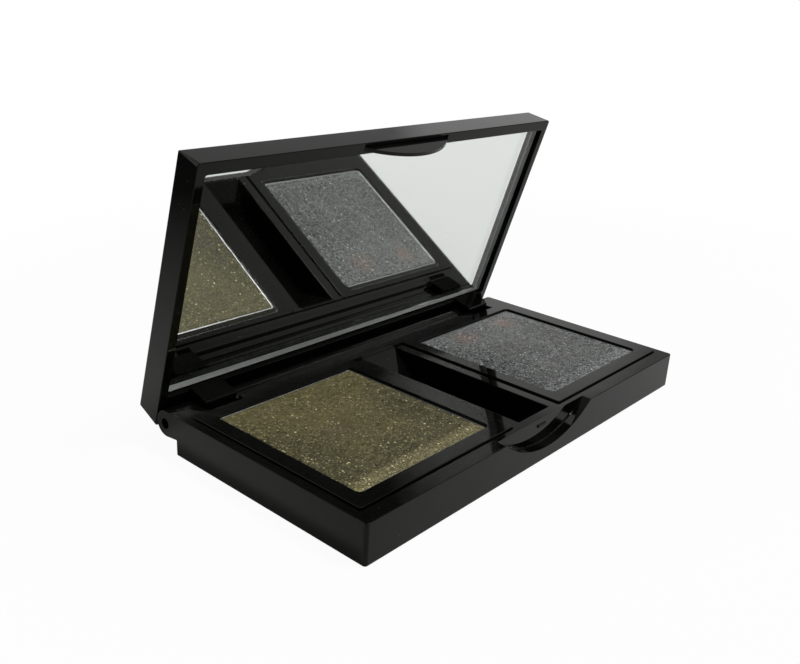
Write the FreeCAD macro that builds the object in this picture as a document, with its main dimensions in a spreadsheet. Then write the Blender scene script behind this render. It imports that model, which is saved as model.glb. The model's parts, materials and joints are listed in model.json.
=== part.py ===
# Eyeshadow compact: a tray with two powder pans and an applicator groove, and a mirror lid
# that swings on two short pins.
# Frame: millimetres, origin at the centre of the tray's underside, +X along the hinge,
# +Y towards the hinge, +Z up. The lid's pieces are drawn shut and swung open by their Placement.
import FreeCAD
import Part
import Sketcher
import os
import re

# Driving dimensions, in millimetres and degrees
DIMENSIONS = {
    # Powder pans and what is in and under them
    "pan_width": 25.7,
    "pan_depth": 27.0,
    "pan_height": 3.3,
    "pan_wall": 0.3,
    "pan_corner": 0.7,
    "pan_side_gap": 0.1,
    "pan_rim_drop": 0.4,
    "pan_glue_layer": 0.2,
    "pan_glue_margin": 3.0,
    "powder_bevel": 2.4,
    "powder_edge_drop": 0.15,
    "powder_crown": 0.3,
    # Raised frames that hold the pans
    "holder_side_frame": 2.3,
    "holder_front_frame": 2.45,
    "holder_back_frame": 1.95,
    "holder_floor": 0.9,
    "holder_proud": 0.3,
    "holder_corner": 0.3,
    "holder_gap": 0.15,
    "holder_lid_gap": 0.15,
    # Tray
    "tray_floor": 1.4,
    "tray_front_rim": 2.5,
    "tray_back_rim": 1.9,
    "tray_corner": 0.5,
    "tray_bottom_round": 0.25,
    "edge_round": 0.1,
    # Applicator groove between the holders
    "groove_width": 7.7,
    "groove_ledge": 2.1,
    "groove_front_rim": 2.9,
    "groove_floor": 1.5,
    "groove_ramp": 6.1,
    "rail_setback": 0.1,
    "rail_lip": 0.2,
    # Finger notch, catch and the lid's tab
    "notch_half_width": 11.0,
    "notch_drop": 3.9,
    "notch_crease": 0.2,
    "tab_side_gap": 1.6,
    "tab_bottom_gap": 0.55,
    "tab_back_gap": 0.35,
    "tab_setback": 0.65,
    "tab_thickness": 0.55,
    "tab_root": 0.6,
    "tab_relief_lip": 0.3,
    "tab_relief_depth": 0.4,
    "catch_length": 1.9,
    "catch_radius": 0.3,
    "catch_proud": 0.2,
    "catch_drop": 1.1,
    # Hinge
    "hinge_setback": 2.6,
    "knuckle_radius": 1.9,
    "ear_width": 4.6,
    "ear_shelf_drop": 3.5,
    "ear_root": 1.0,
    "barrel_valley": 0.6,
    "lug_width": 5.4,
    "lug_side_gap": 0.4,
    "lug_corner": 0.3,
    "lug_step": 0.7,
    "lug_swing_gap": 0.25,
    "lug_root": 0.6,
    "pin_radius": 0.75,
    "pin_clearance": 0.04,
    "pin_recess": 0.8,
    "pin_barrel_depth": 3.2,
    "pin_end_gap": 0.3,
    "pin_chamfer": 0.15,
    # Lid and mirror
    "lid_open_angle": 73.3,
    "lid_roof": 2.3,
    "lid_overhang": 2.0,
    "lid_side_rim": 1.4,
    "lid_front_rim": 1.75,
    "lid_taper": 0.43,
    "lid_top_round": 0.45,
    "parting_gap": 0.15,
    "recess_hinge_gap": 2.55,
    "recess_corner": 0.4,
    "mirror_holder_gap": 0.7,
    "mirror_thickness": 1.4,
    "mirror_edge_gap": 0.1,
    "mirror_pad_layer": 0.2,
    "mirror_pad_margin": 1.5,
    # Blank label in the underside
    "label_width": 46.0,
    "label_depth": 12.0,
    "label_setback": 3.5,
    "label_corner": 1.5,
    "label_layer": 0.08,
    "label_sunk": 0.07,
    "label_edge_gap": 0.2,
}

# Places worked out from the driving dimensions, for the shut compact
LAYOUT = {
    "holder_inner": "groove_width / 2 + groove_ledge",
    "holder_width": "pan_width + 2 * pan_side_gap + 2 * holder_side_frame",
    "holder_outer": "holder_inner + holder_width",
    "half_width": "holder_outer + holder_lid_gap + lid_side_rim",
    "holder_depth": "pan_depth + 2 * pan_side_gap + holder_front_frame + holder_back_frame",
    "tray_depth": "tray_front_rim + holder_depth + tray_back_rim",
    "tray_front": "-tray_depth / 2",
    "tray_back": "tray_depth / 2",
    "holder_front": "tray_front + tray_front_rim",
    "holder_back": "holder_front + holder_depth",
    "pan_inner": "holder_inner + holder_side_frame + pan_side_gap",
    "pan_front": "holder_front + holder_front_frame + pan_side_gap",
    "glue_bottom": "tray_floor + holder_floor",
    "pan_bottom": "glue_bottom + pan_glue_layer",
    "pan_rim": "pan_bottom + pan_height",
    "holder_top": "pan_rim + pan_rim_drop",
    "tray_top": "holder_top - holder_proud",
    "groove_front": "tray_front + groove_front_rim",
    "groove_back": "holder_back - rail_lip",
    "ramp_top": "groove_back - groove_ramp * holder_proud / (holder_top - groove_floor)",
    "axis_y": "tray_back + hinge_setback",
    "axis_z": "tray_top - knuckle_radius",
    "ear_inner": "half_width - ear_width",
    "lug_outer": "ear_inner - lug_side_gap",
    "lug_inner": "lug_outer - lug_width",
    "barrel_end": "lug_inner - lug_side_gap",
    "lug_front": "recess_hinge_gap + lug_step",
    "lug_swing": "lug_corner + sqrt((lug_front - lug_corner)^2 + (knuckle_radius - lug_corner)^2)",
    "bore_radius": "pin_radius + pin_clearance",
    "pin_inner": "barrel_end - pin_barrel_depth",
    "pin_outer": "half_width - pin_recess",
    "notch_depth": "tab_setback + tab_thickness + tab_back_gap",
    "notch_radius": "(notch_half_width^2 + notch_drop^2) / (2 * notch_drop)",
    "tab_half_width": "notch_half_width - tab_side_gap",
    "tab_drop": "notch_drop + parting_gap - tab_bottom_gap",
    "tab_radius": "(tab_half_width^2 + tab_drop^2) / (2 * tab_drop)",
    "tab_front": "tray_front + tab_setback",
    "parting": "tray_top + parting_gap",
    "lid_back": "axis_y + lid_overhang",
    "lug_back": "lid_back - lid_taper - axis_y",
    "lug_rise": "parting + lug_root - axis_z",
    "lug_tangent": "atan2(lug_rise; lug_back) - acos(knuckle_radius / sqrt(lug_rise^2 + lug_back^2))",
    "recess_side": "half_width - lid_side_rim",
    "recess_front": "tray_front + lid_front_rim",
    "recess_back": "axis_y - recess_hinge_gap",
    "mirror_face": "holder_top + mirror_holder_gap",
    "mirror_back": "mirror_face + mirror_thickness",
    "recess_roof": "mirror_back + mirror_pad_layer",
    "lid_top": "recess_roof + lid_roof",
    "lid_height": "lid_top - parting",
    "label_back": "tray_back - label_setback",
    "label_front": "label_back - label_depth",
}

TOLERANCE = 1e-4
SIDES = ("left", "right")

doc = FreeCAD.newDocument("eyeshadow_compact")


def prefixed(formula, sheets):
    """Put the sheet's name before each dimension named in a formula."""
    def with_sheet(match):
        for sheet, names in sheets.items():
            if match[0] in names:
                return sheet + "." + match[0]
        return match[0]
    return re.sub(r"[a-z_]+", with_sheet, formula)


def add_sheet(name, cells):
    sheet = doc.addObject("Spreadsheet::Sheet", name)
    for row, (alias, text) in enumerate(cells.items(), 1):
        sheet.set("A%d" % row, alias)
        sheet.set("B%d" % row, text)
        sheet.setAlias("B%d" % row, alias)
    doc.recompute()


def bound(formula):
    return prefixed(formula, {"Dims": DIMENSIONS, "Layout": LAYOUT})


def tie(thing, prop, formula):
    thing.setExpression(prop, bound(formula))


def value(formula):
    return float(doc.Layout.evalExpression(prefixed(formula, {"Dims": DIMENSIONS})))


def plus(formula, more):
    return "(%s) + (%s)" % (formula, more)


def minus(formula, less):
    return "(%s) - (%s)" % (formula, less)


def inset(span, margin):
    return plus(span[0], margin), minus(span[1], margin)


def on_side(side, span):
    """A span of x on the right, or its mirror image on the left."""
    if side == "right":
        return span
    return "-(%s)" % span[1], "-(%s)" % span[0]


def centred(width):
    return "-(%s) / 2" % width, "(%s) / 2" % width


def add_body(label):
    body = doc.addObject("PartDesign::Body", label)
    body.Label = label
    return body


def add_sketch(body, name, plane, offset):
    sketch = body.newObject("Sketcher::SketchObject", name)
    role = next(item for item in body.Origin.OriginFeatures if item.Role == plane)
    sketch.AttachmentSupport = [(role, "")]
    sketch.MapMode = "FlatFace"
    tie(sketch, "AttachmentOffset.Base.z", offset)
    return sketch


def place_point(sketch, edge, position, point):
    """Hold one point of a sketch at a pair of formulas, measured from the origin."""
    for kind, formula in zip(("DistanceX", "DistanceY"), point):
        hold(sketch, kind, edge, position, formula)


def hold(sketch, kind, edge, position, formula):
    place = Sketcher.Constraint(kind, -1, 1, edge, position, value(formula))
    tie(sketch, "Constraints[%d]" % sketch.addConstraint(place), formula)


def draw_outline(sketch, points, centres=None):
    """Close a line through the points, anticlockwise. centres gives the centre of each arc by
    the number of the point that it starts from."""
    centres = centres or {}
    spots = [FreeCAD.Vector(value(across), value(up), 0) for across, up in points]
    count = len(spots)
    for number, start in enumerate(spots):
        end = spots[(number + 1) % count]
        if number in centres:
            middle = FreeCAD.Vector(*[value(formula) for formula in centres[number]], 0)
            ring = Part.Circle(middle, FreeCAD.Vector(0, 0, 1), (start - middle).Length)
            sketch.addGeometry(Part.ArcOfCircle(ring, ring.parameter(start), ring.parameter(end)))
        else:
            sketch.addGeometry(Part.LineSegment(start, end))
    for number in range(count):
        sketch.addConstraint(Sketcher.Constraint("Coincident", number, 2, (number + 1) % count, 1))
        place_point(sketch, number, 1, points[number])
    for number, (across, up) in centres.items():
        chord = spots[(number + 1) % count] - spots[number]
        if abs(chord.y) > abs(chord.x):
            hold(sketch, "DistanceX", number, 3, across)
        else:
            hold(sketch, "DistanceY", number, 3, up)


def draw_slab(sketch, x_span, y_span, corner=None):
    """A rectangle, with round corners if a corner radius is given."""
    (left, right), (front, back) = x_span, y_span
    if corner is None:
        draw_outline(sketch, [(left, front), (right, front), (right, back), (left, back)])
        return
    inner_left, inner_right = inset(x_span, corner)
    inner_front, inner_back = inset(y_span, corner)
    points = [
        (inner_left, front), (inner_right, front), (right, inner_front), (right, inner_back),
        (inner_right, back), (inner_left, back), (left, inner_back), (left, inner_front),
    ]
    centres = {
        1: (inner_right, inner_front), 3: (inner_right, inner_back),
        5: (inner_left, inner_back), 7: (inner_left, inner_front),
    }
    draw_outline(sketch, points, centres)


def pad(body, name, sketch, length, reverse=False):
    feature = body.newObject("PartDesign::Pad", name)
    feature.Profile = sketch
    feature.Reversed = reverse
    tie(feature, "Length", length)
    doc.recompute()
    return feature


def pocket(body, name, sketch, length, symmetric=False):
    """Cut along the sketch's normal, and make sure that something was cut."""
    before = body.Tip.Shape.Volume
    feature = body.newObject("PartDesign::Pocket", name)
    feature.Profile = sketch
    feature.Reversed = not symmetric
    if symmetric:
        feature.SideType = "Symmetric"
    tie(feature, "Length", length)
    doc.recompute()
    if feature.Shape.Volume > before - TOLERANCE:
        raise ValueError(name + " cuts nothing")
    return feature


def pad_slab(body, name, x_span, y_span, z_span, corner=None):
    sketch = add_sketch(body, name + "_outline", "XY_Plane", z_span[0])
    draw_slab(sketch, x_span, y_span, corner)
    return pad(body, name, sketch, minus(z_span[1], z_span[0]))


def cut_slab(body, name, x_span, y_span, z_span, corner=None):
    sketch = add_sketch(body, name + "_outline", "XY_Plane", z_span[0])
    draw_slab(sketch, x_span, y_span, corner)
    return pocket(body, name, sketch, minus(z_span[1], z_span[0]))


def loft(body, name, sketches):
    feature = body.newObject("PartDesign::AdditiveLoft", name)
    feature.Profile = sketches[0]
    feature.Sections = sketches[1:]
    feature.Ruled = True
    doc.recompute()
    return feature


def cylinder_along_x(body, kind, name, x_span, centre, radius):
    feature = body.newObject("PartDesign::%sCylinder" % kind, name)
    feature.Placement = FreeCAD.Placement(
        FreeCAD.Vector(), FreeCAD.Rotation(FreeCAD.Vector(0, 1, 0), 90))
    tie(feature, "Radius", radius)
    tie(feature, "Height", minus(x_span[1], x_span[0]))
    for axis, formula in zip("xyz", (x_span[0], *centre)):
        tie(feature, "Placement.Base." + axis, formula)
    doc.recompute()
    return feature


def dress_edges(body, kind, name, prop, size, chosen):
    """Round or bevel the edges of the body so far that pass the test."""
    base = body.Tip
    names = ["Edge%d" % number for number, edge in enumerate(base.Shape.Edges, 1) if chosen(edge)]
    if not names:
        raise ValueError(name + " finds no edge")
    feature = body.newObject("PartDesign::" + kind, name)
    feature.Base = (base, names)
    tie(feature, prop, size)
    doc.recompute()
    return feature


def round_edges(body, name, radius, chosen):
    return dress_edges(body, "Fillet", name, "Radius", radius, chosen)


def at(coordinate, formula):
    return abs(coordinate - value(formula)) < TOLERANCE


def lies_at_height(edge, formula):
    return at(edge.BoundBox.ZMin, formula) and at(edge.BoundBox.ZMax, formula)


def runs_along(edge, axis):
    box = edge.BoundBox
    lengths = {"x": box.XLength, "y": box.YLength, "z": box.ZLength}
    long_side = lengths.pop(axis)
    return long_side > TOLERANCE and max(lengths.values()) < TOLERANCE


def swing_open(body):
    """Turn a piece of the shut lid about the hinge axis to the pose at rest."""
    turn = "rotation(vector(1; 0; 0); -lid_open_angle)"
    tie(body, "Placement", "placement(vector(0; 0; 0); %s; vector(0; axis_y; axis_z))" % turn)


def add_knuckle(body, name, x_span, valley="0"):
    """A stretch of the tray's hinge barrel, with the arm that carries it from the back wall. The
    arm's top lies below the tray's top by the depth of the valley."""
    sketch = add_sketch(body, name + "_profile", "YZ_Plane", x_span[0])
    arm_top = minus("tray_top", valley)
    points = [
        ("tray_back - ear_root", "tray_top - ear_shelf_drop"),
        ("tray_back", "tray_top - ear_shelf_drop"),
        ("axis_y", "axis_z - knuckle_radius"),
        ("axis_y - sqrt(knuckle_radius^2 - (knuckle_radius - %s)^2)" % valley, arm_top),
        ("tray_back - ear_root", arm_top),
    ]
    draw_outline(sketch, points, {2: ("axis_y", "axis_z")})
    pad(body, name, sketch, minus(x_span[1], x_span[0]))


def add_crescent(body, name, plane_y, half_width, chord_z, radius, drop, root=None):
    """A sketch, facing the front, of a shallow arc below a chord, or below a strip above it."""
    sketch = add_sketch(body, name, "XZ_Plane", "-(%s)" % plane_y)
    points = [("-(%s)" % half_width, chord_z), (half_width, chord_z)]
    if root is not None:
        points += [(half_width, plus(chord_z, root)), ("-(%s)" % half_width, plus(chord_z, root))]
    draw_outline(sketch, points, {0: ("0", plus(minus(chord_z, drop), radius))})
    return sketch


def make_tray():
    body = add_body("base_shell")
    full_width = ("-half_width", "half_width")
    pad_slab(body, "Block", full_width, ("tray_front", "tray_back"), ("0", "tray_top"))
    round_edges(body, "FrontCorners", "tray_corner",
                lambda edge: runs_along(edge, "z") and at(edge.BoundBox.YMin, "tray_front"))
    round_edges(body, "BottomEdges", "tray_bottom_round", lambda edge: lies_at_height(edge, "0"))

    for side in SIDES:
        add_knuckle(body, "Ear_" + side, on_side(side, ("ear_inner", "half_width")))
    add_knuckle(body, "Barrel", ("-barrel_end", "barrel_end"), "barrel_valley")
    round_edges(body, "TopEdges", "edge_round", on_outer_rim)

    for side in SIDES:
        lug_gap = on_side(side, ("barrel_end", "ear_inner"))
        cut_slab(body, "LugGap_" + side, lug_gap, ("axis_y - lug_swing - lug_swing_gap", "lid_back"),
                 ("axis_z - knuckle_radius - lug_side_gap", "tray_top + holder_proud"))
        cut_slab(body, "Well_" + side,
                 on_side(side, ("holder_inner - holder_gap", "holder_outer + holder_gap")),
                 ("holder_front - holder_gap", "holder_back + holder_gap"),
                 ("tray_floor", "holder_top"), "holder_corner + holder_gap")
        bore = on_side(side, ("pin_inner - pin_end_gap", "half_width"))
        cylinder_along_x(body, "Subtractive", "PinBore_" + side, bore,
                         ("axis_y", "axis_z"), "bore_radius")

    pad_slab(body, "Rail", inset(("-holder_inner", "holder_inner"), "holder_gap"),
             ("ramp_top + rail_setback", "holder_back"), ("tray_top", "holder_top"))
    cut_groove(body)
    cut_finger_notch(body)
    cut_slab(body, "LabelRecess", inset(centred("label_width"), "-label_edge_gap"),
             inset(("label_front", "label_back"), "-label_edge_gap"), ("0", "label_sunk + label_layer"),
             "label_corner + label_edge_gap")
    return body


def on_outer_rim(edge):
    """The tray's upper front edge, its round corners and its two side edges."""
    middle = edge.CenterOfGravity
    beside = abs(middle.x) > value("half_width - tray_corner")
    before = middle.y < value("tray_front + tray_corner")
    return lies_at_height(edge, "tray_top") and (beside or before)


def cut_groove(body):
    """The applicator groove: upright sides, flat floor and a ramp up at each end."""
    sketch = add_sketch(body, "Groove_profile", "YZ_Plane", "0")
    draw_outline(sketch, [
        ("groove_front + groove_ramp", "groove_floor"),
        ("groove_back - groove_ramp", "groove_floor"),
        ("groove_back", "holder_top"),
        ("groove_front", "holder_top"),
        ("groove_front", "tray_top"),
    ])
    pocket(body, "Groove", sketch, "groove_width", symmetric=True)
    half_groove = value("groove_width / 2") + TOLERANCE
    front, back = value("groove_front") - TOLERANCE, value("groove_back") + TOLERANCE

    def on_groove_rim(edge):
        box = edge.BoundBox
        between = -half_groove < box.XMin and box.XMax < half_groove
        within = front < box.YMin and box.YMax < back
        return lies_at_height(edge, "tray_top") and between and within

    round_edges(body, "GrooveRim", "edge_round", on_groove_rim)


def cut_finger_notch(body):
    """The crescent notch in the front wall, with the catch bump on its upright back."""
    sketch = add_crescent(body, "Notch_profile", "tray_front + notch_depth", "notch_half_width",
                          "tray_top", "notch_radius", "notch_drop")
    pocket(body, "Notch", sketch, "notch_depth")

    def on_crease(edge):
        box = edge.BoundBox
        upright = at(box.YMin, "tray_front + notch_depth") and at(box.YMax, "tray_front + notch_depth")
        return upright and at(box.ZMin, "tray_top - notch_drop")

    round_edges(body, "NotchCrease", "notch_crease", on_crease)
    bump_y = "tray_front + notch_depth - catch_proud + catch_radius"
    cylinder_along_x(body, "Additive", "Catch", centred("catch_length"),
                     (bump_y, "tray_top - catch_drop"), "catch_radius")


def make_lid():
    body = add_body("lid_shell")
    rim = add_sketch(body, "Rim_outline", "XY_Plane", "parting")
    draw_slab(rim, ("-half_width", "half_width"), ("tray_front", "lid_back"), "tray_corner")
    block = pad(body, "Block", rim, "lid_height")
    tie(block, "TaperAngle", "-atan(lid_taper / lid_height)")
    doc.recompute()
    round_edges(body, "TopEdges", "lid_top_round", lambda edge: lies_at_height(edge, "lid_top"))
    round_edges(body, "RimEdges", "edge_round", lambda edge: lies_at_height(edge, "parting"))

    cut_slab(body, "MirrorRecess", ("-recess_side", "recess_side"), ("recess_front", "recess_back"),
             ("parting", "recess_roof"), "recess_corner")
    round_edges(body, "RecessRim", "edge_round", on_recess_rim)
    add_tab(body)
    for side in SIDES:
        add_lug(body, side)
    swing_open(body)
    return body


def on_recess_rim(edge):
    inside = abs(edge.CenterOfGravity.x) < value("recess_side") + TOLERANCE
    behind = edge.CenterOfGravity.y > value("recess_front") - TOLERANCE
    before = edge.CenterOfGravity.y < value("recess_back") + TOLERANCE
    return lies_at_height(edge, "parting") and inside and behind and before


def add_tab(body):
    """The crescent tab that drops into the finger notch, behind a shallow relief in the rim."""
    tab_width = ("-tab_half_width", "tab_half_width")
    cut_slab(body, "TabRelief", tab_width, ("tray_front + tab_relief_lip", "tab_front"),
             ("parting", "parting + tab_relief_depth"))
    sketch = add_crescent(body, "Tab_profile", "tab_front", "tab_half_width", "parting",
                          "tab_radius", "tab_drop", root="tab_root")
    pad(body, "Tab", sketch, "tab_thickness", reverse=True)


def add_lug(body, side):
    """A hinge lug: it hangs from the lid beside an ear and wraps round the pin."""
    x_span = on_side(side, ("lug_inner", "lug_outer"))
    sketch = add_sketch(body, "Lug_profile_" + side, "YZ_Plane", x_span[0])
    points = [
        ("axis_y - lug_front + lug_corner", "axis_z - knuckle_radius"),
        ("axis_y", "axis_z - knuckle_radius"),
        ("axis_y + knuckle_radius * cos(lug_tangent)", "axis_z + knuckle_radius * sin(lug_tangent)"),
        ("axis_y + lug_back", "axis_z + lug_rise"),
        ("axis_y - recess_hinge_gap", "parting + lug_root"),
        ("axis_y - recess_hinge_gap", "parting"),
        ("axis_y - lug_front", "parting"),
        ("axis_y - lug_front", "axis_z - knuckle_radius + lug_corner"),
    ]
    centres = {
        1: ("axis_y", "axis_z"),
        7: ("axis_y - lug_front + lug_corner", "axis_z - knuckle_radius + lug_corner"),
    }
    draw_outline(sketch, points, centres)
    pad(body, "Lug_" + side, sketch, "lug_width")
    cylinder_along_x(body, "Subtractive", "PinBore_" + side, x_span,
                     ("axis_y", "axis_z"), "bore_radius")


def make_mirror():
    """The glass plate and the thin pad that sticks it to the roof of the recess."""
    x_span = inset(("-recess_side", "recess_side"), "mirror_edge_gap")
    y_span = inset(("recess_front", "recess_back"), "mirror_edge_gap")
    glass = add_body("mirror")
    pad_slab(glass, "Glass", x_span, y_span, ("mirror_face", "mirror_back"), "recess_corner")
    layer = add_body("mirror_pad")
    pad_slab(layer, "Pad", inset(x_span, "mirror_pad_margin"), inset(y_span, "mirror_pad_margin"),
             ("mirror_back", "recess_roof"))
    for body in (glass, layer):
        swing_open(body)
    return [glass, layer]


def make_pan_set(side):
    """One pan with its holder, its glue and its powder."""
    holder_x = on_side(side, ("holder_inner", "holder_outer"))
    holder_y = ("holder_front", "holder_back")
    pan_x = on_side(side, ("pan_inner", "pan_inner + pan_width"))
    pan_y = ("pan_front", "pan_front + pan_depth")

    holder = add_body("pan_holder_" + side)
    pad_slab(holder, "Block", holder_x, holder_y, ("tray_floor", "holder_top"), "holder_corner")
    cut_slab(holder, "Seat", inset(pan_x, "-pan_side_gap"), inset(pan_y, "-pan_side_gap"),
             ("glue_bottom", "holder_top"), "pan_corner + pan_side_gap")
    round_edges(holder, "TopEdges", "edge_round", lambda edge: lies_at_height(edge, "holder_top"))

    glue = add_body("pan_glue_" + side)
    pad_slab(glue, "Layer", inset(pan_x, "pan_glue_margin"), inset(pan_y, "pan_glue_margin"),
             ("glue_bottom", "pan_bottom"), "pan_corner")

    pan = add_body("pan_" + side)
    inside_x, inside_y = inset(pan_x, "pan_wall"), inset(pan_y, "pan_wall")
    inside_bottom, inside_corner = "pan_bottom + pan_wall", "pan_corner - pan_wall"
    pad_slab(pan, "Block", pan_x, pan_y, ("pan_bottom", "pan_rim"), "pan_corner")
    cut_slab(pan, "Inside", inside_x, inside_y, (inside_bottom, "pan_rim"), inside_corner)

    powder = add_body("powder_" + side)
    edge_height = "pan_rim - powder_edge_drop"
    pad_slab(powder, "Cake", inside_x, inside_y, (inside_bottom, edge_height), inside_corner)
    border = add_sketch(powder, "Border_outline", "XY_Plane", edge_height)
    draw_slab(border, inside_x, inside_y, inside_corner)
    crown = add_sketch(powder, "Crown_outline", "XY_Plane", "pan_rim + powder_crown")
    draw_slab(crown, inset(inside_x, "powder_bevel"), inset(inside_y, "powder_bevel"), inside_corner)
    loft(powder, "Crown", [border, crown])
    return [holder, glue, pan, powder]


def make_pin(side):
    body = add_body("hinge_pin_" + side)
    x_span = on_side(side, ("pin_inner", "pin_outer"))
    cylinder_along_x(body, "Additive", "Rod", x_span, ("axis_y", "axis_z"), "pin_radius")
    dress_edges(body, "Chamfer", "Ends", "Size", "pin_chamfer",
                lambda edge: edge.BoundBox.XLength < TOLERANCE)
    return body


def make_label():
    body = add_body("base_label")
    pad_slab(body, "Sheet", centred("label_width"), ("label_front", "label_back"),
             ("label_sunk", "label_sunk + label_layer"), "label_corner")
    return body


def check_and_write(bodies):
    doc.recompute()
    for thing in doc.Objects:
        if "Invalid" in thing.State or "Error" in thing.State:
            raise ValueError("%s did not compute" % thing.Name)
    for body in bodies:
        if body.Shape.isNull() or not body.Shape.isValid() or len(body.Shape.Solids) != 1:
            raise ValueError("%s is not one valid solid" % body.Label)
    os.makedirs("parts", exist_ok=True)
    for body in bodies:
        body.Shape.exportStep("parts/%s.step" % body.Label)
        print("%-18s %9.2f mm3" % (body.Label, body.Shape.Volume))


add_sheet("Dims", {name: str(number) for name, number in DIMENSIONS.items()})
add_sheet("Layout", {name: "=" + prefixed(formula, {"Dims": DIMENSIONS})
                     for name, formula in LAYOUT.items()})

parts = [make_tray(), make_lid(), make_label()]
parts += make_mirror()
for each_side in SIDES:
    parts += make_pan_set(each_side)
    parts.append(make_pin(each_side))
check_and_write(parts)
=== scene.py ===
"""A black eyeshadow compact with two powder pans and a mirror lid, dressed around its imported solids."""
import bmesh
import bpy
import json
import math
from mathutils import Matrix, Vector, noise


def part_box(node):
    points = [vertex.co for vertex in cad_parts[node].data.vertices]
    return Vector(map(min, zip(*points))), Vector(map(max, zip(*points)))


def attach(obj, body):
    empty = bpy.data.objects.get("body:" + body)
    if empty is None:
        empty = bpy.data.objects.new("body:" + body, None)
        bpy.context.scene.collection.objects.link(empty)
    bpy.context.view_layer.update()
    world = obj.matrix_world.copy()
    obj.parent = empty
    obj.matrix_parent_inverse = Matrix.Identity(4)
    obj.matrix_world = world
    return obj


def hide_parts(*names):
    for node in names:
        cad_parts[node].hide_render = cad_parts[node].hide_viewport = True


MM = 0.001
SCENE = bpy.context.scene

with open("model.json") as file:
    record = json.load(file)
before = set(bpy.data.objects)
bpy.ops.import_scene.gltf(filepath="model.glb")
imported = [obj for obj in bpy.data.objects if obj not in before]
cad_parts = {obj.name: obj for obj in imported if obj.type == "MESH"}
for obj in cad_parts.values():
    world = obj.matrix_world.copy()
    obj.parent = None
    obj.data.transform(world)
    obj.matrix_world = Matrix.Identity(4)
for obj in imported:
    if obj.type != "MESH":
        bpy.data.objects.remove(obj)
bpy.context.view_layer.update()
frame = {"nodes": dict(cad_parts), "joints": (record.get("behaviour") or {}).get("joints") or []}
NODES = frame["nodes"]

# Colours
WHITE = (1.0, 1.0, 1.0)
PLASTIC_CLEAN, PLASTIC_SMEARED = (0.0013, 0.0013, 0.0012), (0.0034, 0.0034, 0.0031)
PLASTIC_GLOSS = (0.95, 1.0, 0.86)
DUST = (0.07, 0.07, 0.065)
ALUMINIUM = (0.70, 0.70, 0.71)
STEEL = (0.52, 0.52, 0.53)
PAPER_PALE, PAPER_DARK = (0.80, 0.80, 0.78), (0.70, 0.70, 0.68)
GLUE_PALE, GLUE_DARK = (0.75, 0.73, 0.68), (0.66, 0.64, 0.58)
SILVER = (0.925, 0.948, 0.922)
GROUND_GLASS_DARK, GROUND_GLASS_PALE = (0.84, 0.87, 0.85), (0.95, 0.95, 0.94)
# Painted shade: the near black of the crumbled rim of a cake, for the shadow in its chips
CHIP_PAINTED_SHADE = (0.012, 0.012, 0.011)
# The floor's colours: painted light near the object and painted shade far from it, a painted pool of light
FLOOR_PAINTED_LIGHT, FLOOR_PAINTED_SHADE = (0.71, 0.72, 0.71), (0.09, 0.09, 0.09)

# Shades of powder, with the place of each smudge from the cake's middle and its radius in millimetres
# The painted light lifts make zones of a cake's top lighter or darker as light falls on them: painted light
# and shade
GOLD = {
    "dark": (0.030, 0.027, 0.008), "light": (0.146, 0.128, 0.0435), "worn": (0.078, 0.066, 0.027),
    "flake": (0.95, 0.86, 0.50),
    "contrast": 0.27, "painted_light_lifts": {"front": 0.24, "middle": 0.18, "back": 0.25, "right": -0.04},
    "residue": (0.11, 0.08, 0.045), "smudges": [((-2.8, 0.45), 3.0)],
}
GREY = {
    "dark": (0.010, 0.011, 0.011), "light": (0.200, 0.208, 0.200), "worn": (0.082, 0.081, 0.076),
    "flake": (0.80, 0.86, 0.86),
    "contrast": 0.19, "painted_light_lifts": {"front": 0.05, "middle": 0.07, "back": 0.16, "right": 0.11},
    "residue": (0.25, 0.145, 0.115), "smudges": [((-5.1, 9.45), 3.4), ((6.6, 9.55), 2.8)],
}

# Grains and flakes of powder, in cells to the millimetre
FINE_GRAINS, COARSE_GRAINS = 5.6, 2.7
SMALL_FLAKES, LARGE_FLAKES = 5.0, 2.9

# Zones of a cake's top, in millimetres inside its rim
BORDER_ZONE, FRONT_ZONE, MIDDLE_ZONE = (2.6, 1.2), (2.6, 1.4), (3.0, 9.0)

# Powder cakes
CAKE_STEPS = 120
CAKE_CORNER = 0.4 * MM
CAKE_BEVEL, CAKE_EDGE_DROP = 2.4 * MM, 0.25 * MM
WEAR_START, WEAR_SLOPE, WEAR_DEPTH = 0.9 * CAKE_BEVEL, 0.6 * MM, 0.17 * MM
WEAR_SCALE, GRAIN_SCALE = 0.12, 1.3
GRAIN_DEPTH = 0.03 * MM

# Mirror plate
MIRROR_CORNER = 0.4 * MM
MIRROR_BEVEL = 0.12 * MM
MIRROR_PAD_GAP = 0.02 * MM

# Floor, with distances in millimetres from the middle of the pool of light painted on it
FLOOR_REACH = 12.0
FLOOR_GAP = 0.02 * MM
FLOOR_MIDDLE = (40.0, 10.0, 0.0)
FLOOR_FADE = (75.0, 240.0)
FLOOR_WHITE_SPAN, FLOOR_WHITE_SHARES = (60.0, 150.0), (0.94, 1.0)
FLOOR_SHEEN_SPAN, FLOOR_SHEEN_SHARES = (75.0, 165.0), (0.14, 0.0)

# Light. Each soft patch of the world has a direction, two cosines between which it fades in, and a strength
GLOW = 0.33
ROOM_DIM = 0.06
BEHIND, BEHIND_FADE, BEHIND_STRENGTH = (0.81, 0.48, 0.33), (0.6, 0.93), 0.40
CORE_FADE, CORE_STRENGTH = (0.991, 0.9945), 0.42
SIDE_PATCH = ((0.77, -0.63, 0.10), (0.985, 0.995), 0.68)
HIGH_PATCH = ((0.711, -0.381, 0.591), (0.95, 0.99), 0.8)
REAR_PATCH = ((-0.35, 0.86, 0.37), (0.55, 0.95), 1.0)
KEY_PLACE, KEY_AIM = Vector((0.105, -0.139, 0.382)), Vector((0, 0, 0.01))
KEY_SIZE, KEY_POWER = 0.13, 1.3

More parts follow.
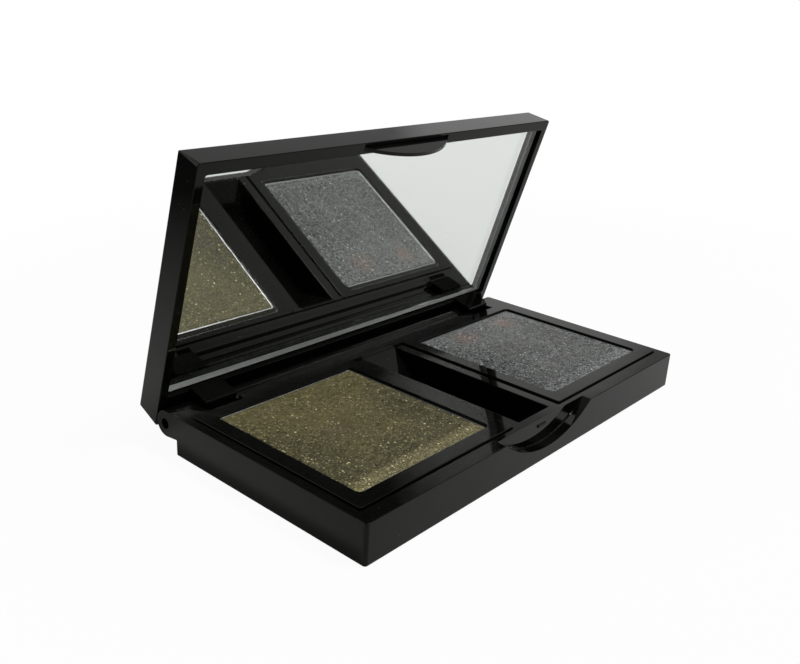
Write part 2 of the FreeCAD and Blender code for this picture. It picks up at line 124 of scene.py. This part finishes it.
# The camera that the photograph's straight edges fit
CAMERA_PLACE = (-0.10196, -0.07577, 0.06219)
CAMERA_RIGHT, CAMERA_BACK = Vector((0.6635, -0.7463, 0.0536)), Vector((-0.7105, -0.606, 0.3577))
CAMERA_LENS, CAMERA_SENSOR = 40.415, 36.0
CAMERA_CLIP = 0.005


# Node trees

def fill(tree, socket, value):
    """Link a socket to another one, or set its own value. A colour is given without its alpha."""
    if isinstance(value, bpy.types.NodeSocket):
        tree.links.new(value, socket)
    elif socket.type == "RGBA":
        socket.default_value = (*value, 1.0)
    else:
        socket.default_value = value


def add(tree, kind, inputs=None, **settings):
    """A new node with its settings, and with some inputs filled."""
    made = tree.nodes.new("ShaderNode" + kind)
    for name, setting in settings.items():
        setattr(made, name, setting)
    for name, value in (inputs or {}).items():
        fill(tree, made.inputs[name], value)
    return made


def bare_tree(owner):
    """The emptied node tree of a material or world."""
    owner.use_nodes = True
    owner.node_tree.nodes.clear()
    return owner.node_tree


def new_material(name, inputs=None):
    """A material with one principled shader."""
    material = bpy.data.materials.new(name)
    tree = bare_tree(material)
    shader = add(tree, "BsdfPrincipled", inputs)
    add(tree, "OutputMaterial", {"Surface": shader.outputs["BSDF"]})
    return material, tree, shader


def maths(tree, operation, first, second=0.0):
    return add(tree, "Math", {0: first, 1: second}, operation=operation).outputs[0]


def weighed(tree, *pairs):
    """The sum of some values, each times its weight."""
    total = 0.0
    for value, weight in pairs:
        total = maths(tree, "ADD", maths(tree, "MULTIPLY", value, weight), total)
    return total


def remap(tree, value, start, end, low=0.0, high=1.0):
    """Low up to the start, high from the end on, and even between them."""
    made = add(tree, "MapRange", {"Value": value, "From Min": start, "From Max": end,
                                  "To Min": low, "To Max": high})
    return made.outputs["Result"]


def mix(tree, share, first, second):
    """Blend two colours."""
    return add(tree, "Mix", {0: share, 6: first, 7: second}, data_type="RGBA").outputs[2]


def vector_maths(tree, operation, first, second):
    return add(tree, "VectorMath", {0: first, 1: second}, operation=operation).outputs["Vector"]


def vector_measure(tree, operation, first, second):
    """A number that two vectors give, such as their distance."""
    return add(tree, "VectorMath", {0: first, 1: second}, operation=operation).outputs["Value"]


def scaled(tree, vector, scale):
    return add(tree, "VectorMath", {0: vector, "Scale": scale}, operation="SCALE").outputs["Vector"]


def in_mm(tree):
    """A point's place on its own object, in millimetres."""
    return scaled(tree, add(tree, "TexCoord").outputs["Object"], 1.0 / MM)


def grain(tree, place, scale, detail=2.0, rough=0.5):
    made = add(tree, "TexNoise", {"Vector": place, "Scale": scale, "Detail": detail, "Roughness": rough})
    return made.outputs["Fac"]


def lined(tree, place, stretch, detail):
    """Grain drawn out into lines."""
    return grain(tree, vector_maths(tree, "MULTIPLY", place, stretch), scale=1.0, detail=detail)


def cells(tree, place, scale):
    """Cells, each with a random tone: the tone, the distance from the cell's point, and a random colour."""
    spread = add(tree, "TexVoronoi", {"Vector": place, "Scale": scale}).outputs
    tone = add(tree, "SeparateColor", {"Color": spread["Color"]}).outputs[0]
    return tone, spread["Distance"], spread["Color"]


def specks(tree, place, scale, share, radius):
    """A mask of scattered round specks: a share of the cells have one, at the cell's own point."""
    tone, distance = cells(tree, place, scale)[:2]
    chosen = maths(tree, "GREATER_THAN", tone, 1.0 - share)
    return maths(tree, "MULTIPLY", chosen, remap(tree, distance, radius, 0.4 * radius))


def bump(tree, height, depth_mm, normal=None):
    inputs = {"Height": height, "Strength": 1.0, "Distance": depth_mm * MM}
    if normal is not None:
        inputs["Normal"] = normal
    return add(tree, "Bump", inputs).outputs["Normal"]


# Plain materials

def black_plastic(name, dust_share):
    """Moulded gloss plastic with faint smears, hairlines, dust and an uneven surface."""
    material, tree, shader = new_material(name, {"IOR": 1.5, "Specular IOR Level": 0.175,
                                                 "Specular Tint": PLASTIC_GLOSS})
    place = in_mm(tree)
    smear = remap(tree, grain(tree, place, scale=0.09, detail=4.0), 0.35, 0.75)
    hairs = remap(tree, lined(tree, place, (0.25, 9.0, 9.0), detail=1.0), 0.70, 0.74)
    dust = specks(tree, place, scale=0.9, share=dust_share, radius=0.09)
    colour = mix(tree, dust, mix(tree, smear, PLASTIC_CLEAN, PLASTIC_SMEARED), DUST)
    rough = weighed(tree, (1.0, 0.03), (smear, 0.05), (hairs, 0.10), (dust, 0.5))
    wave = grain(tree, place, scale=0.16, detail=1.0)
    fill(tree, shader.inputs["Base Color"], colour)
    fill(tree, shader.inputs["Roughness"], rough)
    fill(tree, shader.inputs["Normal"], bump(tree, wave, depth_mm=0.02))
    return material


def metal(name, colour, roughness):
    """Satin metal with fine drawn lines and soft edges."""
    material, tree, shader = new_material(name, {"Metallic": 1.0})
    lines = lined(tree, in_mm(tree), (1.0, 14.0, 14.0), detail=2.0)
    dull = tuple(0.7 * part for part in colour)
    edges = add(tree, "Bevel", {"Radius": 0.3 * MM}).outputs["Normal"]
    fill(tree, shader.inputs["Base Color"], mix(tree, lines, dull, colour))
    fill(tree, shader.inputs["Roughness"], remap(tree, lines, 0.3, 0.7, roughness, roughness + 0.12))
    fill(tree, shader.inputs["Normal"], bump(tree, lines, depth_mm=0.004, normal=edges))
    return material


def plain_matte(name, pale, dark, scale, depth_mm):
    """Paper, glue and other dull layers."""
    material, tree, shader = new_material(name, {"Roughness": 0.8})
    fibres = grain(tree, in_mm(tree), scale, detail=5.0, rough=0.65)
    fill(tree, shader.inputs["Base Color"], mix(tree, fibres, dark, pale))
    fill(tree, shader.inputs["Normal"], bump(tree, fibres, depth_mm))
    return material


def mirror_front():
    """Clear glass with a few specks of powder on it."""
    material, tree, shader = new_material("mirror_front", {"IOR": 1.52, "Base Color": WHITE})
    dots = specks(tree, in_mm(tree), scale=0.34, share=0.12, radius=0.05)
    fill(tree, shader.inputs["Transmission Weight"], maths(tree, "SUBTRACT", 1.0, dots))
    fill(tree, shader.inputs["Roughness"], maths(tree, "MULTIPLY", dots, 0.6))
    return material


def mirror_silver():
    """The silvered back, seen through the glass."""
    return new_material("mirror_silver", {"Base Color": SILVER, "Metallic": 1.0, "Roughness": 0.015})[0]


def mirror_edge():
    """The ground edge of the plate."""
    material, tree, shader = new_material("mirror_edge", {"Roughness": 0.55})
    frost = grain(tree, in_mm(tree), scale=6.0, detail=3.0)
    fill(tree, shader.inputs["Base Color"], mix(tree, frost, GROUND_GLASS_DARK, GROUND_GLASS_PALE))
    return material


# Powder material

def edge_distance(tree, place, low, high):
    """How far a point lies inside a rectangle seen from above, in millimetres."""
    parts = add(tree, "SeparateXYZ", {0: place}).outputs
    gaps = []
    for axis in range(2):
        middle, half = (low[axis] + high[axis]) / 2 / MM, (high[axis] - low[axis]) / 2 / MM
        away = maths(tree, "ABSOLUTE", maths(tree, "SUBTRACT", parts[axis], middle))
        gaps.append(maths(tree, "SUBTRACT", half, away))
    return maths(tree, "MINIMUM", *gaps)


def powder_zones(tree, place, inside, low, high):
    """Masks of the zones of a cake's top. The one for its right runs from -0.5 at the left to 0.5."""
    along_x, along_y = add(tree, "SeparateXYZ", {0: place}).outputs[:2]
    left, right, front, back = low.x / MM, high.x / MM, low.y / MM, high.y / MM
    return {
        "border": remap(tree, inside, *BORDER_ZONE),
        "middle": remap(tree, inside, *MIDDLE_ZONE),
        "front": remap(tree, along_y, *(front + depth for depth in FRONT_ZONE)),
        "back": remap(tree, along_y, (front + back) / 2, back),
        "right": remap(tree, along_x, left, right, -0.5, 0.5),
    }


def powder_tone(tree, place, zones, clumps, shade):
    """How light each grain is, from 0 to 1, with the painted light and shade of its zone."""
    fine, coarse = cells(tree, place, FINE_GRAINS)[0], cells(tree, place, COARSE_GRAINS)[0]
    # Painted light and shade: each zone's lift lightens or darkens the grains there
    painted_light_lifts = [(zones[zone], lift) for zone, lift in shade["painted_light_lifts"].items()]
    tone = weighed(tree, (fine, 0.42), (coarse, 0.28), (clumps, 0.30), *painted_light_lifts)
    mean = 0.5 + shade["painted_light_lifts"]["middle"]
    return remap(tree, tone, mean - shade["contrast"], mean + shade["contrast"])


def smudge(tree, place, centre, radius, cloud):
    """A soft uneven patch round a point, in millimetres."""
    away = vector_measure(tree, "DISTANCE", place, centre)
    ragged = weighed(tree, (away, 1.0), (cloud, -2.2 * radius))
    return remap(tree, ragged, -0.2 * radius, -1.2 * radius)


def crumbled_rim_painted_shade(tree, place, inside, zones):
    """Where the rim of the cake has crumbled away, less so along its front. The chips are not cut into the
    cake:
    the mask paints them near black, a painted shade for the shadow in them.
    """
    ragged = weighed(tree, (inside, 1.0), (grain(tree, place, scale=1.1, detail=3.0, rough=0.6), -2.4),
                     (zones["front"], 0.8))
    return remap(tree, ragged, -1.15, -1.4)


def flakes(tree, place, scale, least):
    """Bright flakes: how strong each one is, and a random colour for its tilt. The least tone of a cell
    that has a flake sets how many there are."""
    tone, distance, colour = cells(tree, place, scale)
    strength = maths(tree, "POWER", remap(tree, tone, least, 1.0), 1.5)
    return maths(tree, "MULTIPLY", strength, remap(tree, distance, 0.55, 0.25)), colour


def powder_flakes(tree, place, zones, front_painted_lift):
    """Small and large flakes, with more of them along the border and most of all at the front, where their
    number follows the front's painted light.
    """
    border, front = zones["border"], zones["front"]
    small_least = weighed(tree, (1.0, 0.76), (border, -0.12), (front, -1.6 * front_painted_lift))
    large_least = weighed(tree, (1.0, 0.95), (border, -0.03), (front, -0.3 * front_painted_lift))
    small, tilt = flakes(tree, place, SMALL_FLAKES, small_least)
    large = flakes(tree, place, LARGE_FLAKES, large_least)[0]
    return maths(tree, "MAXIMUM", maths(tree, "MULTIPLY", small, 0.62), large), tilt


def leaning(tree, ground, tilt, shine):
    """A normal that leans at random from grain to grain, and further on a bright flake."""
    side = vector_maths(tree, "SUBTRACT", tilt, (0.5, 0.5, 0.5))
    lean = scaled(tree, side, remap(tree, shine, 0.0, 0.3, 0.45, 0.8))
    turned = vector_maths(tree, "ADD", ground, lean)
    return add(tree, "VectorMath", {0: turned}, operation="NORMALIZE").outputs["Vector"]


def pressed_powder(name, node, shade):
    """Pressed powder: coarse grains, worn patches, a crumbled rim whose chips carry painted shade, and
    flakes that lie at every angle. The shade gives its colours, the contrast between its grains, the
    painted light and shade that makes some zones lighter or darker, and what a brush left behind of another
    shade."""
    material, tree, shader = new_material(name)
    place = in_mm(tree)
    low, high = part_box(node)
    inside = edge_distance(tree, place, low, high)
    zones = powder_zones(tree, place, inside, low, high)
    clumps = grain(tree, place, scale=1.6, detail=4.0, rough=0.7)
    colour = mix(tree, powder_tone(tree, place, zones, clumps, shade), shade["dark"], shade["light"])
    rubbed = remap(tree, grain(tree, place, scale=0.11, detail=3.0), 0.45, 0.65)
    rubbed = maths(tree, "MULTIPLY", rubbed, maths(tree, "SUBTRACT", 1.0, zones["border"]))
    colour = mix(tree, maths(tree, "MULTIPLY", rubbed, 0.4), colour, shade["worn"])
    middle = (low + high) / 2 / MM
    for (right, back), radius in shade["smudges"]:
        spot = (middle.x + right, middle.y + back, high.z / MM)
        patch = smudge(tree, place, spot, radius, clumps)
        colour = mix(tree, maths(tree, "MULTIPLY", patch, 0.6), colour, shade["residue"])
    # Painted shade in the chips of the crumbled rim
    colour = mix(tree, crumbled_rim_painted_shade(tree, place, inside, zones), colour, CHIP_PAINTED_SHADE)
    # More flakes at the front, in step with its painted light
    shine, tilt = powder_flakes(tree, place, zones, shade["painted_light_lifts"]["front"])
    ground = bump(tree, clumps, depth_mm=0.06)
    fill(tree, shader.inputs["Base Color"], mix(tree, shine, colour, shade["flake"]))
    fill(tree, shader.inputs["Metallic"], maths(tree, "MULTIPLY", shine, 0.5))
    fill(tree, shader.inputs["Roughness"], remap(tree, shine, 0.0, 1.0, 0.62, 0.35))
    fill(tree, shader.inputs["Normal"], leaning(tree, ground, tilt, shine))
    return material


# Pieces that stand for nodes

def finish_piece(work, name, body, node, materials):
    mesh = bpy.data.meshes.new(name)
    bmesh.ops.recalc_face_normals(work, faces=work.faces)
    work.to_mesh(mesh)
    work.free()
    for material in materials:
        mesh.materials.append(material)
    piece = bpy.data.objects.new(name, mesh)
    SCENE.collection.objects.link(piece)
    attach(piece, body)
    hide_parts(node)
    return piece


def shut_turn():
    """The turn about the hinge that shuts the lid from its place at rest."""
    joint = frame["joints"][0]
    pin = Matrix.Translation(Vector(joint["pos_m"]))
    turn = Matrix.Rotation(math.radians(joint["range_deg"][0]), 4, Vector(joint["axis"]))
    return pin @ turn @ pin.inverted()


def corners(points):
    """The lowest and highest corner of the box round some points."""
    low = Vector(min(point[axis] for point in points) for axis in range(3))
    high = Vector(max(point[axis] for point in points) for axis in range(3))
    return low, high


def mirror_layer(face):
    """The number of a face's material, with the lid shut and the glass facing down."""
    front, silver, edge = range(3)
    if face.normal.z < -0.3:
        return front
    if face.normal.z > 0.9:
        return silver
    return edge


def build_mirror():
    """A glass plate with round corners, ground edges, a small bevel round its front and a silvered back."""
    shut = shut_turn()
    low, high = corners([shut @ vertex.co for vertex in NODES["mirror"].data.vertices])
    work = bmesh.new()
    bmesh.ops.create_cube(work, size=1.0)
    for vertex in work.verts:
        share = vertex.co + Vector((0.5, 0.5, 0.5))
        vertex.co = low + share * (high - low)
    upright = [edge for edge in work.edges if abs(edge.verts[0].co.z - edge.verts[1].co.z) > MM]
    bmesh.ops.bevel(work, geom=upright, offset=MIRROR_CORNER, segments=4, profile=0.5, affect="EDGES")
    rim = [edge for edge in work.edges
           if all(abs(vertex.co.z - low.z) < 1e-6 for vertex in edge.verts)]
    bmesh.ops.bevel(work, geom=rim, offset=MIRROR_BEVEL, segments=1, affect="EDGES")
    work.normal_update()
    for face in work.faces:
        face.material_index = mirror_layer(face)
    for vertex in work.verts:
        vertex.co.z = min(vertex.co.z, high.z - MIRROR_PAD_GAP)
    work.transform(shut.inverted())
    return finish_piece(work, "mirror_plate", "lid", "mirror",
                        [mirror_front(), mirror_silver(), mirror_edge()])


def smooth(amount):
    """An even rise from 0 to 1 with a soft start and end."""
    amount = min(1.0, max(0.0, amount))
    return amount * amount * (3.0 - 2.0 * amount)


def in_round_corner(x, y, low, high, corner):
    """The nearest place inside a rectangle with round corners."""
    middle = Vector((min(max(x, low.x + corner), high.x - corner),
                     min(max(y, low.y + corner), high.y - corner)))
    away = Vector((x, y)) - middle
    if away.length > corner:
        away *= corner / away.length
    return middle + away


def cake_top(x, y, low, high, seed):
    """The height of a cake's top: a bevelled border with a low ridge, and a worn, grainy middle."""
    inside = min(x - low.x, high.x - x, y - low.y, high.y - y)
    spot = Vector((x / MM, y / MM, seed))
    bevel = CAKE_EDGE_DROP * (1.0 - smooth(inside / CAKE_BEVEL))
    uneven = 0.7 + 0.8 * noise.noise(spot * WEAR_SCALE)
    worn = WEAR_DEPTH * smooth((inside - WEAR_START) / WEAR_SLOPE) * uneven
    rough = GRAIN_DEPTH * noise.fractal(spot * GRAIN_SCALE, 1.0, 2.0, 3)
    return high.z - bevel - max(0.0, worn + rough + GRAIN_DEPTH)


def build_powder(node, name, material, seed):
    """A cake of pressed powder: a fine grid for its top, with walls and a flat underside."""
    low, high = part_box(node)
    work = bmesh.new()
    rows = []
    for row in range(CAKE_STEPS + 1):
        y = low.y + (high.y - low.y) * row / CAKE_STEPS
        line = []
        for column in range(CAKE_STEPS + 1):
            x = low.x + (high.x - low.x) * column / CAKE_STEPS
            place = in_round_corner(x, y, low, high, CAKE_CORNER)
            line.append(work.verts.new((place.x, place.y, cake_top(x, y, low, high, seed))))
        rows.append(line)
    for near, far in zip(rows, rows[1:]):
        for column in range(CAKE_STEPS):
            work.faces.new((near[column], near[column + 1], far[column + 1], far[column]))
    border = [edge for edge in work.edges if edge.is_boundary]
    walls = bmesh.ops.extrude_edge_only(work, edges=border)["geom"]
    for vertex in (item for item in walls if isinstance(item, bmesh.types.BMVert)):
        vertex.co.z = low.z
    bmesh.ops.contextual_create(work, geom=[edge for edge in work.edges if edge.is_boundary])
    for face in work.faces:
        face.smooth = True
    return finish_piece(work, name, "base", node, [material])


# Stage

def floor_material():
    """Painted light and shade: pale near the object and darker far away, as if lit by a pool of light. The
    camera sees it as white with a soft shadow, gloss and glass see a faint white sheen on it, and from
    below it is clear."""
    material = bpy.data.materials.new("floor")
    tree = bare_tree(material)
    away = vector_measure(tree, "DISTANCE", in_mm(tree), FLOOR_MIDDLE)
    # Painted light and shade: the colour fades from the painted pool of light to painted shade far away
    colour = mix(tree, remap(tree, away, *FLOOR_FADE), FLOOR_PAINTED_LIGHT, FLOOR_PAINTED_SHADE)
    pale = add(tree, "BsdfDiffuse", {"Color": colour}).outputs[0]
    white = add(tree, "Emission", {"Color": WHITE, "Strength": 1.0}).outputs[0]
    clear = add(tree, "BsdfTransparent").outputs[0]
    path = add(tree, "LightPath").outputs
    bounced = maths(tree, "MAXIMUM", path["Is Glossy Ray"], path["Is Transmission Ray"])
    to_camera = remap(tree, away, *FLOOR_WHITE_SPAN, *FLOOR_WHITE_SHARES)
    to_gloss = remap(tree, away, *FLOOR_SHEEN_SPAN, *FLOOR_SHEEN_SHARES)
    share = maths(tree, "MAXIMUM", maths(tree, "MULTIPLY", path["Is Camera Ray"], to_camera),
                  maths(tree, "MULTIPLY", bounced, to_gloss))
    top = add(tree, "MixShader", {0: share, 1: pale, 2: white}).outputs[0]
    below = add(tree, "NewGeometry").outputs["Backfacing"]
    whole = add(tree, "MixShader", {0: below, 1: top, 2: clear}).outputs[0]
    add(tree, "OutputMaterial", {"Surface": whole})
    return material


def build_floor():
    mesh = bpy.data.meshes.new("floor")
    sides = ((-1, -1), (1, -1), (1, 1), (-1, 1))
    mesh.from_pydata([(x * FLOOR_REACH, y * FLOOR_REACH, 0) for x, y in sides], [], [(0, 1, 2, 3)])
    mesh.materials.append(floor_material())
    floor = bpy.data.objects.new("floor", mesh)
    SCENE.collection.objects.link(floor)
    floor.location.z = -FLOOR_GAP


def glowing(tree, ray, direction, fade, low, high):
    """How bright the world looks: low away from a direction, and high round it."""
    return remap(tree, vector_measure(tree, "DOT_PRODUCT", ray, direction), *fade, low, high)


def build_world():
    """A soft even glow lights the object. The camera sees white, and gloss and glass see a dim room with a
    large patch of light behind the object, which has a brighter core, and three more patches."""
    world = bpy.data.worlds.new("studio")
    SCENE.world = world
    tree = bare_tree(world)
    path = add(tree, "LightPath").outputs
    ray = add(tree, "TexCoord").outputs["Generated"]
    shade = maths(tree, "ADD", glowing(tree, ray, BEHIND, BEHIND_FADE, ROOM_DIM, BEHIND_STRENGTH),
                  glowing(tree, ray, BEHIND, CORE_FADE, 0.0, CORE_STRENGTH))
    for direction, fade, strength in (SIDE_PATCH, HIGH_PATCH, REAR_PATCH):
        shade = maths(tree, "MAXIMUM", shade, glowing(tree, ray, direction, fade, 0.0, strength))
    shade = maths(tree, "MAXIMUM", shade, path["Is Camera Ray"])
    glow = add(tree, "Background", {"Color": WHITE, "Strength": GLOW}).outputs[0]
    room = add(tree, "Background", {"Color": WHITE, "Strength": shade}).outputs[0]
    seen = maths(tree, "MAXIMUM", path["Is Camera Ray"], path["Is Glossy Ray"])
    seen = maths(tree, "MAXIMUM", seen, path["Is Transmission Ray"])
    both = add(tree, "MixShader", {0: seen, 1: glow, 2: room}).outputs[0]
    add(tree, "OutputWorld", {"Surface": both})


def build_lamp():
    lamp = bpy.data.lights.new("key", "AREA")
    lamp.size = KEY_SIZE
    lamp.energy = KEY_POWER
    holder = bpy.data.objects.new("key", lamp)
    holder.location = KEY_PLACE
    holder.rotation_euler = (KEY_AIM - KEY_PLACE).to_track_quat("-Z", "Y").to_euler()
    SCENE.collection.objects.link(holder)


def build_camera():
    back = CAMERA_BACK.normalized()
    up = back.cross(CAMERA_RIGHT).normalized()
    right = up.cross(back)
    camera = bpy.data.cameras.new("camera")
    camera.sensor_width = CAMERA_SENSOR
    camera.lens = CAMERA_LENS
    camera.clip_start = CAMERA_CLIP
    holder = bpy.data.objects.new("camera", camera)
    turn = Matrix((right, up, back)).transposed().to_4x4()
    holder.matrix_world = Matrix.Translation(CAMERA_PLACE) @ turn
    SCENE.collection.objects.link(holder)
    SCENE.camera = holder


# Dressing

def dress(material, *names):
    """Give nodes one material."""
    for name in names:
        slots = NODES[name].data.materials
        slots.clear()
        slots.append(material)


SCENE.view_settings.view_transform = "Standard"

dress(black_plastic("base_plastic", dust_share=0.1), "base_shell")
dress(black_plastic("holder_plastic", dust_share=0.12), "pan_holder_left", "pan_holder_right")
dress(black_plastic("lid_plastic", dust_share=0.1), "lid_shell")
dress(metal("pan_aluminium", ALUMINIUM, roughness=0.26), "pan_left", "pan_right")
dress(metal("pin_steel", STEEL, roughness=0.25), "hinge_pin_left", "hinge_pin_right")
dress(plain_matte("label_paper", PAPER_PALE, PAPER_DARK, scale=3.0, depth_mm=0.01), "base_label")
dress(plain_matte("glue", GLUE_PALE, GLUE_DARK, scale=1.0, depth_mm=0.02),
      "pan_glue_left", "pan_glue_right", "mirror_pad")

gold_powder = pressed_powder("gold_powder", "powder_left", GOLD)
grey_powder = pressed_powder("grey_powder", "powder_right", GREY)
build_powder("powder_left", "powder_gold", gold_powder, seed=3.7)
build_powder("powder_right", "powder_grey", grey_powder, seed=11.3)
build_mirror()

build_floor()
build_world()
build_lamp()
build_camera()
